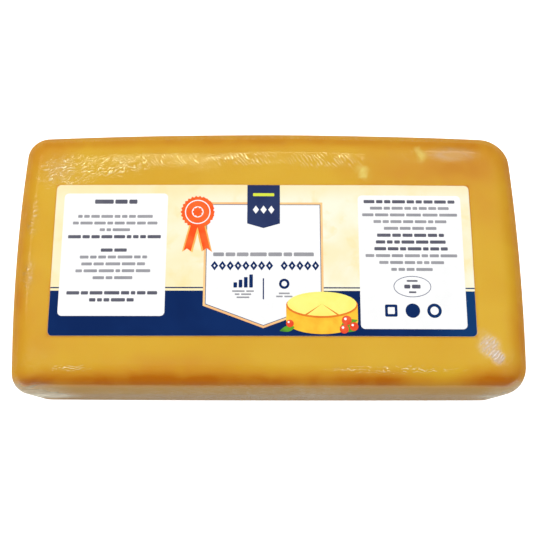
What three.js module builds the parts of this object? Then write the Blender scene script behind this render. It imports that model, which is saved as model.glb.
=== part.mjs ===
// A block of smoked kashkaval, sealed in clear clinging film, with one paper label on its upper face.
//
// Millimetres, +Z up. The block lies flat: X is its length, Y its width and Z its height. The
// origin is under the middle of the block, on the surface that it lies on. The front is -Y.
//
// The sealed pack can't be opened or seen through to a gap, so cheese and film are one closed solid.
// A mould and the tight film give it its form: flat underneath, walls that lean in a little towards
// the base, a soft shoulder all round, an upper face that is crowned, and four corners that were
// each pressed to a radius of their own.

import * as THREE from 'three';
import { mergeVertices } from 'three/addons/utils/BufferGeometryUtils.js';

// Size of the block, over everything.
const LENGTH = 289;
const WIDTH = 154;
const HEIGHT = 68;

// Rounding of its edges. The shoulder runs round the upper face, the foot round the base.
const SHOULDER_RADIUS = 17;
const FOOT_RADIUS = 9.5;
const CORNER_RADIUS = { backRight: 16, backLeft: 11.5, frontLeft: 10.5, frontRight: 14.5 };

// A corner's radius shrinks by this much for each millimetre that the outline is drawn in.
const CORNER_TIGHTENING = 0.3;

// The walls lean in by this much for each millimetre below the shoulder.
const WALL_LEAN = 0.03;

// How far each wall stands out where it bulges most, past its two ends. Where it bulges most is a
// share of the wall's half length from its middle: the right wall does a little towards the front.
const WALL_BULGE = { right: 2.1, left: 2.6, back: 3.2, front: 0.4 };
const WALL_BULGES_MOST_AT = { right: -0.2, left: 0, back: 0, front: 0 };

// The upper face falls by this much from its middle to a corner, and rises and dips softly on its way.
const CROWN_FALL = 2.4;
const DIP_DEPTH = 0.3;
const DIP_PITCH_X = 95;
const DIP_PITCH_Y = 70;

// The label: a sheet of paper, stuck to the film, a little left of the middle.
const LABEL_LENGTH = 234;
const LABEL_WIDTH = 87;
const LABEL_THICKNESS = 0.4;
const LABEL_CENTRE = new THREE.Vector2(-3.2, -3.6);
const LABEL_CORNER_RADIUS = 2.5;
const LABEL_GAP = 0.3;

// Grid cells along each side. Those of the block gather towards its edges, where the form turns.
const BLOCK_CELLS = { x: 36, y: 20, foot: 3, wall: 2, shoulder: 5 };
const LABEL_CELLS = { x: 28, y: 12 };
const GATHER_TO_EDGES = 0.6;

// Takes a share of a half side, from -1 to 1, closer to its ends, so that the cells there are small.
function gather(share) {
  const eased = Math.sin((share * Math.PI) / 2);
  return THREE.MathUtils.lerp(share, eased, GATHER_TO_EDGES);
}

// Pulls a point of a rectangle with sharp corners onto the one with a corner radius. The square
// cell of each corner becomes a quarter disc, and everything else stays where it is.
function roundCorner(point, halfLength, halfWidth, radius) {
  const overX = Math.abs(point.x) - (halfLength - radius);
  const overY = Math.abs(point.y) - (halfWidth - radius);
  if (overX > 0 && overY > 0) {
    const shrink = Math.max(overX, overY) / Math.hypot(overX, overY);
    point.x -= Math.sign(point.x) * overX * (1 - shrink);
    point.y -= Math.sign(point.y) * overY * (1 - shrink);
  }
  return point;
}

// Height and inset of the block's side at a share of the way up it: the foot's quarter circle, the
// leaning wall, then the shoulder's quarter circle.
function sideAt(share) {
  const cells = BLOCK_CELLS.foot + BLOCK_CELLS.wall + BLOCK_CELLS.shoulder;
  const step = share * cells;
  const wallFoot = FOOT_RADIUS;
  const wallHead = HEIGHT - SHOULDER_RADIUS;
  let height;
  let rounding = 0;
  if (step < BLOCK_CELLS.foot) {
    const turn = (step / BLOCK_CELLS.foot) * (Math.PI / 2);
    height = FOOT_RADIUS * (1 - Math.cos(turn));
    rounding = FOOT_RADIUS * (1 - Math.sin(turn));
  } else if (step < BLOCK_CELLS.foot + BLOCK_CELLS.wall) {
    const along = (step - BLOCK_CELLS.foot) / BLOCK_CELLS.wall;
    height = THREE.MathUtils.lerp(wallFoot, wallHead, along);
  } else {
    const turn = ((step - BLOCK_CELLS.foot - BLOCK_CELLS.wall) / BLOCK_CELLS.shoulder) * (Math.PI / 2);
    height = wallHead + SHOULDER_RADIUS * Math.sin(turn);
    rounding = SHOULDER_RADIUS * (1 - Math.cos(turn));
  }
  const lean = WALL_LEAN * Math.max(0, wallHead - height);
  return { height, inset: rounding + lean };
}

// How far the upper face lies below the full height, over a point of the block.
function fallOfUpperFace(x, y) {
  const crown = (CROWN_FALL / 2) * ((x / (LENGTH / 2)) ** 2 + (y / (WIDTH / 2)) ** 2);
  const waveX = Math.sin((2 * Math.PI * x) / DIP_PITCH_X + y / DIP_PITCH_Y);
  const waveY = Math.cos((2 * Math.PI * y) / DIP_PITCH_Y - x / DIP_PITCH_X);
  return crown + (DIP_DEPTH / 2) * (1 - waveX * waveY);
}

// Moves a point of a box from -1 to 1 each way to its place on the block's surface.
function placeOnBlock(point) {
  const share = (point.z + 1) / 2;
  const { height, inset } = sideAt(share);
  const halfLength = LENGTH / 2 - inset;
  const halfWidth = WIDTH / 2 - inset;
  point.x = gather(point.x) * halfLength;
  point.y = gather(point.y) * halfWidth;

  const longWall = point.y > 0 ? 'back' : 'front';
  const endWall = point.x > 0 ? 'right' : 'left';
  const corner = longWall + (point.x > 0 ? 'Right' : 'Left');
  const radius = CORNER_RADIUS[corner] - CORNER_TIGHTENING * inset;
  roundCorner(point, halfLength, halfWidth, radius);

  const alongX = (2 * point.x) / LENGTH;
  const alongY = (2 * point.y) / WIDTH;
  point.x -= alongX * WALL_BULGE[endWall] * (alongY - WALL_BULGES_MOST_AT[endWall]) ** 2;
  point.y -= alongY * WALL_BULGE[longWall] * (alongX - WALL_BULGES_MOST_AT[longWall]) ** 2;
  point.z = height - fallOfUpperFace(point.x, point.y) * (height / HEIGHT);
}

// Moves a point of a box from -1 to 1 each way to its place on the label, which lies on the crown.
function placeOnLabel(point) {
  const layer = point.z > 0 ? LABEL_THICKNESS : 0;
  point.x *= LABEL_LENGTH / 2;
  point.y *= LABEL_WIDTH / 2;
  roundCorner(point, LABEL_LENGTH / 2, LABEL_WIDTH / 2, LABEL_CORNER_RADIUS);
  point.x += LABEL_CENTRE.x;
  point.y += LABEL_CENTRE.y;
  point.z = HEIGHT - fallOfUpperFace(point.x, point.y) + LABEL_GAP + layer;
}

// A box of grid cells, closed at its edges, with every vertex moved by a function.
function bentBox(cellsX, cellsY, cellsZ, place) {
  const box = new THREE.BoxGeometry(2, 2, 2, cellsX, cellsY, cellsZ);
  box.deleteAttribute('normal');
  box.deleteAttribute('uv');
  const geometry = mergeVertices(box);
  const position = geometry.getAttribute('position');
  const point = new THREE.Vector3();
  for (let i = 0; i < position.count; i += 1) {
    point.fromBufferAttribute(position, i);
    place(point);
    position.setXYZ(i, point.x, point.y, point.z);
  }
  geometry.computeVertexNormals();
  return geometry;
}

function makePack() {
  const cellsUp = BLOCK_CELLS.foot + BLOCK_CELLS.wall + BLOCK_CELLS.shoulder;
  const geometry = bentBox(BLOCK_CELLS.x, BLOCK_CELLS.y, cellsUp, placeOnBlock);
  const material = new THREE.MeshStandardMaterial({ color: 0xdba53a, roughness: 0.2, metalness: 0 });
  const pack = new THREE.Mesh(geometry, material);
  pack.name = 'pack';
  return pack;
}

function makeLabel() {
  const geometry = bentBox(LABEL_CELLS.x, LABEL_CELLS.y, 1, placeOnLabel);
  const material = new THREE.MeshStandardMaterial({ color: 0xfbf3d2, roughness: 0.4, metalness: 0 });
  const label = new THREE.Mesh(geometry, material);
  label.name = 'label';
  return label;
}

const cheese = new THREE.Group();
cheese.add(makePack(), makeLabel());

export default cheese;
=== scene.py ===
# %% [markdown]
# A block of smoked kashkaval, vacuum-packed.
#
# The real object is a loaf of amber cheese of about three kilos, sealed in a clear bag that shrank
# onto it, with one printed paper label stuck on top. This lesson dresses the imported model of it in
# three steps: the cheese, the film over it, and the label. All three follow one form, so the
# functions that describe that form come first.

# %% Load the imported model
import math
import random
from collections import namedtuple

import bmesh
import bpy
from mathutils import Matrix, Vector, noise


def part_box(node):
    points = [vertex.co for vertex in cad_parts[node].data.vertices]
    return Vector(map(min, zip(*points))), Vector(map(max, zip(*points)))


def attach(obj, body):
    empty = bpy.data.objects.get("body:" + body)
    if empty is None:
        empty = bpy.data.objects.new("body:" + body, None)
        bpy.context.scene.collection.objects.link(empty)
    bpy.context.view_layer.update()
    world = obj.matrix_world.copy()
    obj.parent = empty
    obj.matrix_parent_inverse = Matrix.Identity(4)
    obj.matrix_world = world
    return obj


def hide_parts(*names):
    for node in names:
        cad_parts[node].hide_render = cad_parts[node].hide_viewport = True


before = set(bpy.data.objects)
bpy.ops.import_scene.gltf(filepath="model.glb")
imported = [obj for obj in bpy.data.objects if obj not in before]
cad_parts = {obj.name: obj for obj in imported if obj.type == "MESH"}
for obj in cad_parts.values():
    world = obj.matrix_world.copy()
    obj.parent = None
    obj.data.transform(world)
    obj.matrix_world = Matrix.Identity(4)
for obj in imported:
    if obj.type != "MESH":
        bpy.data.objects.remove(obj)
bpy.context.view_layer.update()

# %% [markdown]
# The block lies flat with its label up, and the photographer stood in front of it and looked down
# steeply. Two numbers describe that camera best: how high it looks from, and how wide its lens is.
# The far edge of the block is clearly shorter than the near one, so the camera was close. The lens
# and distance here were fitted to the outline of the block and the corners of the label.

# %% Camera
MM = 0.001
CAMERA_ELEVATION = math.radians(75.05)
CAMERA_AZIMUTH = math.radians(-0.18)
CAMERA_ROLL = math.radians(0.29)
CAMERA_DISTANCE = 475.5 * MM
CAMERA_LENS = 57.94
CAMERA_SENSOR = 36.0
CAMERA_CLIP = 10 * MM
LOOK_AT = Vector((-1.0, -8.1, 68.0)) * MM


def direction(azimuth, elevation):
    """The unit vector from the block to a place at this azimuth and elevation, in radians."""
    flat = math.cos(elevation)
    return Vector((math.sin(azimuth) * flat, -math.cos(azimuth) * flat, math.sin(elevation)))


camera = bpy.data.objects.new("camera", bpy.data.cameras.new("camera"))
camera.data.sensor_width = CAMERA_SENSOR
camera.data.lens = CAMERA_LENS
camera.data.clip_start = CAMERA_CLIP
towards_camera = direction(CAMERA_AZIMUTH, CAMERA_ELEVATION)
camera.location = LOOK_AT + towards_camera * CAMERA_DISTANCE
turn = (-towards_camera).to_track_quat("-Z", "Y").to_matrix()
camera.rotation_euler = (turn @ Matrix.Rotation(CAMERA_ROLL, 3, "Z")).to_euler()
bpy.context.scene.collection.objects.link(camera)
bpy.context.scene.camera = camera
print("camera at", [round(c, 3) for c in camera.location])

# %% [markdown]
# The sky, the floor and all finishes are made of nodes. An input of a node takes a link or a plain
# value, so one helper does either, and a few short ones on top of it keep the node work readable.

# %% Helpers for nodes
def feed(tree, socket, value):
    """Links a node's output into a socket, or sets the socket to a constant."""
    if isinstance(value, bpy.types.NodeSocket):
        tree.links.new(value, socket)
    else:
        socket.default_value = value


def fill(tree, node, **values):
    """Feeds each value to the node's input of that name."""
    sockets = {socket.name.replace(" ", "_"): socket for socket in reversed(node.inputs) if socket.enabled}
    for name, value in values.items():
        feed(tree, sockets[name], value)


def add_node(tree, kind, **values):
    """A new node. Each value is fed to the input of that name, or else is the node's own setting."""
    made = tree.nodes.new(kind)
    names = {socket.name.replace(" ", "_") for socket in made.inputs}
    for name, value in values.items():
        if name not in names:
            setattr(made, name, value)
    fill(tree, made, **{name: value for name, value in values.items() if name in names})
    return made


def math_node(tree, operation, first, second=0.0, clamp=False):
    made = add_node(tree, "ShaderNodeMath", operation=operation, use_clamp=clamp)
    feed(tree, made.inputs[0], first)
    feed(tree, made.inputs[1], second)
    return made.outputs["Value"]


def plus(tree, first, second, clamp=False):
    return math_node(tree, "ADD", first, second, clamp)


def times(tree, first, second):
    return math_node(tree, "MULTIPLY", first, second)


def ramp(tree, value, span, result=(0.0, 1.0), soft=True):
    """Runs through the result while the value runs through the span, and stays at its ends outside it."""
    made = add_node(
        tree,
        "ShaderNodeMapRange",
        interpolation_type="SMOOTHSTEP" if soft else "LINEAR",
        Value=value,
        From_Min=span[0],
        From_Max=span[1],
        To_Min=result[0],
        To_Max=result[1],
    )
    return made.outputs["Result"]


# %% [markdown]
# The photo has even light from a bright ceiling, pale walls round the block and narrow lamps high
# up. The room is dim near the horizon, which is why the front edge of the block turns so dark. A sky
# that is bright above and dim below gives the even part, and the camera itself sees it white, as the
# photo's backdrop is. The lamps are area lights, because their shapes show in the creases of the
# film. The walls are too, but they only light the cheese and aren't mirrored.

# %% Sky
SKY_HIGH = 1.25
SKY_LOW = 0.24
SKY_TURNS_AT = (0.30, 0.95)

world = bpy.data.worlds.new("studio")
bpy.context.scene.world = world
world.use_nodes = True
bpy.context.scene.view_settings.view_transform = "Standard"


def build_sky(tree):
    tree.nodes.clear()
    looked = add_node(tree, "ShaderNodeTexCoord").outputs["Generated"]
    height = add_node(tree, "ShaderNodeSeparateXYZ", Vector=looked).outputs["Z"]
    rise = ramp(tree, height, SKY_TURNS_AT, (SKY_LOW, SKY_HIGH))
    seen = add_node(tree, "ShaderNodeLightPath").outputs["Is Camera Ray"]
    lifted = math_node(tree, "MAXIMUM", rise, seen)
    glow = add_node(tree, "ShaderNodeBackground", Color=(1, 1, 1, 1), Strength=lifted)
    shown = add_node(tree, "ShaderNodeOutputWorld")
    tree.links.new(glow.outputs["Background"], shown.inputs["Surface"])


build_sky(world.node_tree)
print("sky from", SKY_LOW, "at the horizon to", SKY_HIGH, "overhead")

# %% Lamps and walls
BLOCK_MIDDLE = Vector((0, 0, 50)) * MM
WHITE_LIGHT = (1.0, 1.0, 1.0)
TUBE_COLOR = (0.92, 1.0, 0.86)
LIGHTS = [
    # name, azimuth and elevation in degrees, distance, size, radiance, colour, mirrored in the film
    ("lamp behind", 189, 61.5, 1.5, (0.70, 0.06), 4.5, TUBE_COLOR, True),
    ("wall behind", 182, 34, 1.4, (1.2, 0.45), 1.5, WHITE_LIGHT, False),
    ("wall left", -95, 34, 1.3, (1.0, 0.60), 1.75, WHITE_LIGHT, False),
    ("wall right", 80, 42, 1.3, (0.8, 0.5), 1.35, WHITE_LIGHT, False),
    ("lamp right", 155, 45, 1.5, (0.15, 0.12), 1.6, WHITE_LIGHT, True),
    ("lamp left", -115, 31, 1.3, (0.7, 0.24), 1.1, WHITE_LIGHT, True),
    ("tube right", 16, 57.5, 1.6, (0.24, 0.022), 7.0, WHITE_LIGHT, True),
    ("tube left", -24, 57.5, 1.6, (0.06, 0.022), 7.0, WHITE_LIGHT, True),
]


def area_light(name, azimuth, elevation, distance, size, radiance, color, mirrored):
    """A flat soft light that faces the block. Radiance is how bright the light itself looks. One that
    isn't mirrored lights the cheese without showing in the film."""
    made = bpy.data.objects.new(name, bpy.data.lights.new(name, "AREA"))
    away = direction(math.radians(azimuth), math.radians(elevation))
    made.location = BLOCK_MIDDLE + away * distance
    made.rotation_euler = (-away).to_track_quat("-Z", "Y").to_euler()
    made.data.shape = "RECTANGLE"
    made.data.size, made.data.size_y = size
    made.data.energy = radiance * size[0] * size[1] * math.pi
    made.data.color = color
    made.visible_glossy = mirrored
    bpy.context.scene.collection.objects.link(made)


for light in LIGHTS:
    area_light(*light)
print("lights", [light[0] for light in LIGHTS])

# %% [markdown]
# The photo's table is pure white, without a shadow. A pale floor that light falls on gives the true
# reflection in the front wall of the block. A little glow that only the camera sees then lifts the
# floor to white in the picture, and lights nothing.

# %% Floor
FLOOR_HALF = 1.4
FLOOR_CELLS = 8
FLOOR_DROP = 0.2 * MM
FLOOR_COLOR = (0.80, 0.80, 0.80, 1)
FLOOR_ROUGH = 0.9
FLOOR_GLOW = 0.80


def build_floor():
    form = bmesh.new()
    bmesh.ops.create_grid(form, x_segments=FLOOR_CELLS, y_segments=FLOOR_CELLS, size=FLOOR_HALF)
    bmesh.ops.translate(form, verts=form.verts, vec=(0, 0, -FLOOR_DROP))
    made = bpy.data.objects.new("floor", bpy.data.meshes.new("floor"))
    form.to_mesh(made.data)
    form.free()
    bpy.context.scene.collection.objects.link(made)
    material = bpy.data.materials.new("pale floor")
    material.use_nodes = True
    tree = material.node_tree
    tree.nodes.clear()
    seen = add_node(tree, "ShaderNodeLightPath").outputs["Is Camera Ray"]
    finish = add_node(
        tree,
        "ShaderNodeBsdfPrincipled",
        Base_Color=FLOOR_COLOR,
        Roughness=FLOOR_ROUGH,
        Emission_Color=(1, 1, 1, 1),
        Emission_Strength=times(tree, seen, FLOOR_GLOW),
    )
    shown = add_node(tree, "ShaderNodeOutputMaterial")
    tree.links.new(finish.outputs["BSDF"], shown.inputs["Surface"])
    made.data.materials.append(material)


build_floor()
print("floor", 2 * FLOOR_HALF, "m wide")

# %% [markdown]
# Cheese, film and label share one form: flat underneath, walls that lean in towards the base, a soft
# shoulder all round, a crowned upper face, and a radius of its own at each of the four corners. It
# could be carved by hand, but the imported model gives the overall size, and the same few radii bend
# a plain box into it. Sizes are in millimetres here, and each finished mesh is scaled to metres.

# %% The block's form
pack_low, pack_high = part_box("pack")
LENGTH = (pack_high.x - pack_low.x) / MM
WIDTH = (pack_high.y - pack_low.y) / MM
# The crown and the dips take a little off this height.
HEIGHT = 68.0
SHOULDER_RADIUS = 17.0
FOOT_RADIUS = 9.5
CORNER_RADIUS = {
    ("back", "right"): 16.0,
    ("back", "left"): 11.5,
    ("front", "left"): 10.5,
    ("front", "right"): 14.5,
}
CORNER_TIGHTENING = 0.3
WALL_LEAN = 0.03
WALL_BULGE = {"right": 2.1, "left": 2.6, "back": 3.2, "front": 0.4}
WALL_BULGES_MOST_AT = {"right": -0.2, "left": 0.0, "back": 0.0, "front": 0.0}
CROWN_FALL = 2.4
DIP_DEPTH = 0.3
DIP_PITCH = (95.0, 70.0)

# Shares of the way up the side at which the foot ends and the shoulder begins, in the fine meshes.
FOOT_ENDS = 0.2
SHOULDER_BEGINS = 0.5
GATHER_TO_EDGES = 0.6


def mix(a, b, share):
    return a + (b - a) * share


def smooth(low, high, value):
    """0 below low, 1 above high, and a soft rise between."""
    share = min(1.0, max(0.0, (value - low) / (high - low)))
    return share * share * (3 - 2 * share)


def gather(share, amount):
    """A share of a half side, moved closer to its ends, so that the cells there are small."""
    return mix(share, math.sin(share * math.pi / 2), amount)


def side_at(share):
    """Height and inset of the side at a share of the way up: the foot, the wall, the shoulder."""
    head = HEIGHT - SHOULDER_RADIUS
    rounding = 0.0
    if share < FOOT_ENDS:
        angle = share / FOOT_ENDS * math.pi / 2
        height = FOOT_RADIUS * (1 - math.cos(angle))
        rounding = FOOT_RADIUS * (1 - math.sin(angle))
    elif share < SHOULDER_BEGINS:
        height = mix(FOOT_RADIUS, head, (share - FOOT_ENDS) / (SHOULDER_BEGINS - FOOT_ENDS))
    else:
        angle = (share - SHOULDER_BEGINS) / (1 - SHOULDER_BEGINS) * math.pi / 2
        height = head + SHOULDER_RADIUS * math.sin(angle)
        rounding = SHOULDER_RADIUS * (1 - math.cos(angle))
    return height, rounding + WALL_LEAN * max(0.0, head - height)


def fall_of_upper_face(x, y):
    """How far the upper face lies below the full height, over a point of the block."""
    crown = CROWN_FALL / 2 * ((2 * x / LENGTH) ** 2 + (2 * y / WIDTH) ** 2)
    wave_x = math.sin(2 * math.pi * x / DIP_PITCH[0] + y / DIP_PITCH[1])
    wave_y = math.cos(2 * math.pi * y / DIP_PITCH[1] - x / DIP_PITCH[0])
    return crown + DIP_DEPTH / 2 * (1 - wave_x * wave_y)


def round_corner(x, y, half_x, half_y, radius):
    """Pulls a point of a sharp rectangle onto the one with rounded corners."""
    over_x = abs(x) - (half_x - radius)
    over_y = abs(y) - (half_y - radius)
    if over_x > 0 and over_y > 0:
        shrink = 1 - max(over_x, over_y) / math.hypot(over_x, over_y)
        x -= math.copysign(over_x * shrink, x)
        y -= math.copysign(over_y * shrink, y)
    return x, y


def place_on_block(u, v, w, gathered=GATHER_TO_EDGES):
    """The point of the block's surface for a point of the box from -1 to 1."""
    height, inset = side_at((w + 1) / 2)
    half_x, half_y = LENGTH / 2 - inset, WIDTH / 2 - inset
    long_wall, end_wall = ("back" if v > 0 else "front"), ("right" if u > 0 else "left")
    radius = CORNER_RADIUS[long_wall, end_wall] - CORNER_TIGHTENING * inset
    x, y = gather(u, gathered) * half_x, gather(v, gathered) * half_y
    x, y = round_corner(x, y, half_x, half_y, radius)
    along_x, along_y = 2 * x / LENGTH, 2 * y / WIDTH
    x -= along_x * WALL_BULGE[end_wall] * (along_y - WALL_BULGES_MOST_AT[end_wall]) ** 2
    y -= along_y * WALL_BULGE[long_wall] * (along_x - WALL_BULGES_MOST_AT[long_wall]) ** 2
    return Vector((x, y, height - fall_of_upper_face(x, y) * height / HEIGHT))


print("block", round(LENGTH), "x", round(WIDTH), "x", HEIGHT, "mm")

# %% A box with a fine grid on it
BOX_SIDE = 2.0
NEARLY = 1e-4


def gridded_box(cells):
    """A closed box from -1 to 1, with its edges cut into this many cells along X, Y and Z."""
    form = bmesh.new()
    bmesh.ops.create_cube(form, size=BOX_SIDE)
    for axis in range(3):
        along = []
        for edge in form.edges:
            one, two = edge.verts
            if abs(one.co[axis] - two.co[axis]) > BOX_SIDE - NEARLY:
                along.append(edge)
        bmesh.ops.subdivide_edges(form, edges=along, cuts=cells[axis] - 1, use_grid_fill=True)
    return form


def finish_piece(form, name):
    """Turns a bmesh in millimetres into a smooth object in metres."""
    bmesh.ops.scale(form, verts=form.verts, vec=(MM, MM, MM))
    made = bpy.data.objects.new(name, bpy.data.meshes.new(name))
    form.to_mesh(made.data)
    form.free()
    bpy.context.scene.collection.objects.link(made)
    for polygon in made.data.polygons:
        polygon.use_smooth = True
    return made


# %% [markdown]
# The cheese is one soft loaf. Its shoulders are darker and redder than its face, most of all along the
# front: partly the smoke that the rind took where it sticks out, partly painted shade where the surface
# turns away from the light. One colour by height would make a hard ring, so each vertex gets a value
# of its own, from how far the surface has turned there, from the side that it is on, and from a few
# broad clouds.

# %% How much smoke the rind took, and how much painted shade it has
# Painted shade as well as smoke: the value grows where the surface turns away from the top, most on the
# front.
SIDE_SMOKE_AND_SHADE = {"front": 1.0, "back": 0.44, "left": 0.37, "right": 0.50}
SMOKE_AND_SHADE_BEGIN = -0.03
SMOKE_AND_SHADE_FULL = {"front": 0.24, "back": 0.12, "left": 0.34, "right": 0.42}
WALL_SMOKE_AND_SHADE = 0.22
WALL_TURN = (0.33, 0.50)
NEVER_ZERO = 1e-6
SMOKE_CLOUDS = [
    # middle, reach, how much is added
    ((80, 50), (54, 22), 0.46),
    ((124, 34), (30, 42), 0.30),
    ((114, 56), (38, 22), 0.38),
    ((0, 64), (150, 12), 0.16),
    ((-128, 58), (26, 22), 0.36),
    ((-141, 24), (15, 36), 0.22),
    ((-136, -28), (32, 44), 0.30),
    ((-116, -52), (26, 15), 0.16),
    ((122, -68), (24, 13), 0.28),
    ((140, -46), (15, 34), 0.22),
    ((-50, -63), (60, 11), 0.36),
    ((92, -72), (32, 13), -0.62),
    ((20, -73), (36, 9), -0.26),
    ((-112, -73), (18, 9), -0.22),
]


def smoke_and_shade_at(point, normal):
    """Smoke and painted shade from 0, plain amber, to 1, the deepest orange brown, and how much of the
    front wall it is, which gets painted shade of its own.
    """
    turned = 1 - max(0.0, normal.z)
    sides = {"front": -normal.y, "back": normal.y, "left": -normal.x, "right": normal.x}
    facing = {side: max(0.0, share) ** 2 for side, share in sides.items()}
    total = sum(facing.values()) + NEVER_ZERO
    smoke_and_shade = 0.0
    for side, share in facing.items():
        full = SMOKE_AND_SHADE_FULL[side]
        rise = smooth(SMOKE_AND_SHADE_BEGIN, full, turned) - smooth(SMOKE_AND_SHADE_BEGIN, full, 0)
        smoke_and_shade += share / total * SIDE_SMOKE_AND_SHADE[side] * rise
    # The front wall's share carries painted shade; there the smoke gives way to it.
    wall = smooth(*WALL_TURN, turned)
    front = facing["front"] / total
    smoke_and_shade *= mix(1.0, WALL_SMOKE_AND_SHADE, wall * front)
    for middle, reach, added in SMOKE_CLOUDS:
        away = math.hypot((point.x - middle[0]) / reach[0], (point.y - middle[1]) / reach[1])
        smoke_and_shade += added * smooth(0, 1, 1 - away) * (1 - wall)
    return min(1.0, max(0.0, smoke_and_shade)), wall * front


# %% The cheese
CHEESE_CELLS = (84, 48, 34)
FILM_CLEARANCE = 0.12


def build_cheese():
    form = gridded_box(CHEESE_CELLS)
    for vert in form.verts:
        vert.co = place_on_block(*vert.co)
    form.normal_update()
    smoke_and_shade, shade = form.verts.layers.float.new("smoke_and_shade"), form.verts.layers.float.new("shade")
    for vert in form.verts:
        vert[smoke_and_shade], vert[shade] = smoke_and_shade_at(vert.co, vert.normal)
        vert.co -= vert.normal * FILM_CLEARANCE
    return finish_piece(form, "cheese")


cheese = build_cheese()
print("cheese faces", len(cheese.data.polygons))

# %% [markdown]
# The film is a shrunk bag, so it lies on the cheese like a second skin and only stands up where it
# had too much material: in a fan of creases at a corner, in short crinkles along the shoulders and
# in long ripples on the walls. Cloth simulation would wrinkle it all over, and here the places matter,
# so each place is a zone with its own pitch, direction and depth. Ridges come from noise that is
# folded at zero, which leaves sharp lines between soft hollows, as creased film has. Each zone also
# names the fine strokes that the film's finish draws there.

# %% Where the film is creased
Zone = namedtuple("Zone", "centre reach along stretch pitch depth strokes strength cloudy")
CREASE_ZONES = [Zone(*row) for row in (
    # centre, reach, direction of the creases, stretch, pitch, depth, strokes, their strength, cloudiness
    ((-116, 47.5, 66), (22, 14.5, 16), (0.80, 0.60, 0.0), 2.4, 2.3, 0.070, "rising", 0.75, 0.06),
    ((-119, 49.0, 66), (10, 8, 12), (0.80, 0.60, 0.0), 2.4, 2.3, 0.050, "rising", 1.0, 0.11),
    ((-90, 51.5, 66), (28, 8.5, 12), (0.70, 0.70, 0.0), 1.8, 2.1, 0.045, "rising", 0.9, 0.02),
    ((-56, 55.2, 66), (52, 5.8, 10), (0.55, -0.83, 0.0), 2.4, 2.4, 0.040, "falling", 0.55, 0.01),
    ((-12, 56.2, 67), (26, 5.4, 9), (0.50, -0.85, 0.0), 3.0, 2.8, 0.040, "falling", 0.62, 0.01),
    ((34, 55.2, 67), (32, 6, 9), (0.80, -0.60, 0.0), 2.4, 2.5, 0.045, "falling", 0.7, 0.01),
    ((84, 58, 66), (24, 8, 9), (0.80, -0.60, 0.0), 2.0, 2.4, 0.030, "falling", 0.10, 0.02),
    ((106, 60, 65), (20, 7, 10), (0.95, -0.30, 0.0), 2.6, 3.4, 0.012, "along", 0.12, 0.36),
    ((-133.5, 21, 63), (5.5, 19, 9), (0.30, 0.90, -0.25), 2.0, 2.2, 0.060, "rising", 0.80, 0.09),
    ((-133.5, -12, 63), (5.5, 20, 9), (0.30, 0.90, -0.25), 2.0, 2.2, 0.060, "rising", 0.80, 0.09),
    ((120.2, -52.4, 66), (8, 8.2, 9), (0.74, 0.67, 0.0), 4.5, 1.9, 0.060, "fanned", 0.8, 0.85),
    ((124.6, -58.4, 65), (5.2, 5.4, 8), (0.74, 0.67, 0.0), 4.5, 1.9, 0.040, "fanned", 1.0, 0.90),
    ((115, -45.5, 67), (7, 4, 6), (0.90, 0.42, 0.0), 5.0, 2.6, 0.060, "fanned", 0.6, 0.12),
    ((132, -62, 58), (12, 14, 18), (0.60, 0.30, -0.70), 3.0, 3.0, 0.100, "along", 0.1, 0.08),
    ((-128, -60, 60), (18, 14, 16), (0.50, -0.40, -0.70), 3.0, 3.2, 0.090, "along", 0.1, 0.03),
    ((-109, -64.6, 66), (16, 1.9, 6), (1.0, 0.0, 0.0), 7.0, 2.4, 0.050, "along", 1.0, 0.02),
    ((69, -65, 66), (46, 2.4, 6), (1.0, 0.02, 0.0), 8.0, 2.4, 0.050, "along", 1.0, 0.02),
    ((0, 70, 60), (150, 8, 10), (1.0, 0.0, 0.0), 8.0, 3.0, 0.050, "along", 0.15, 0.0),
    ((0, -78, 38), (170, 14, 34), (1.0, 0.0, 0.03), 9.0, 3.6, 0.110, "along", 0.7, 0.13),
    ((-128, -74, 42), (28, 13, 26), (1.0, 0.0, 0.12), 6.0, 3.0, 0.100, "along", 0.8, 1.0),
    ((132, -74, 40), (22, 14, 26), (0.9, 0.3, 0.2), 4.0, 3.0, 0.100, "along", 0.7, 0.70),
    ((14, -78, 38), (46, 12, 30), (1.0, 0.0, 0.03), 9.0, 3.2, 0.080, "along", 0.4, 0.12),
    ((0, 80, 27), (170, 14, 26), (0.96, 0.0, 0.28), 5.0, 6.0, 0.220, "along", 0.5, 0.05),
    ((-146, 0, 27), (14, 90, 26), (0.0, 0.35, 0.94), 4.0, 6.5, 0.280, "along", 0.4, 0.05),
    ((146, 0, 27), (14, 90, 26), (0.0, -0.30, 0.95), 4.0, 6.5, 0.280, "along", 0.4, 0.05),
)]
ZONE_FADE = 0.7
RIDGE_SHARPNESS = 2.4
NOISE_SHIFT = 0.37
LABEL_PRESSES = (-1.5, 1.0)

label_low, label_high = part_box("label")


def folded(point):
    """Sharp ridges with soft hollows between them, from 0 to 1."""
    return max(0.0, 1 - abs(noise.noise(point)) * RIDGE_SHARPNESS) ** 2


def zone_share(point, zone):
    """How strongly a zone takes hold of a point: 1 in its middle, 0 from its reach on."""
    away = Vector([(p - c) / r for p, c, r in zip(point, zone.centre, zone.reach)]).length
    return smooth(0, ZONE_FADE, 1 - away)


def zone_lift(point, zone):
    """How far a zone's creases would lift a point in its middle. Each zone has its own piece of noise."""
    axis = Vector(zone.along).normalized()
    across = point / zone.pitch - axis * (point.dot(axis) / zone.pitch) * (1 - 1 / zone.stretch)
    return zone.depth * folded(across + Vector(zone.centre) * NOISE_SHIFT)


def under_label(point):
    """1 well inside the label's outline, where the label presses the film flat."""
    low, high = label_low / MM, label_high / MM
    inside = min(point.x - low.x, high.x - point.x, point.y - low.y, high.y - point.y)
    return smooth(*LABEL_PRESSES, inside) if point.z > HEIGHT - SHOULDER_RADIUS else 0.0


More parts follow.
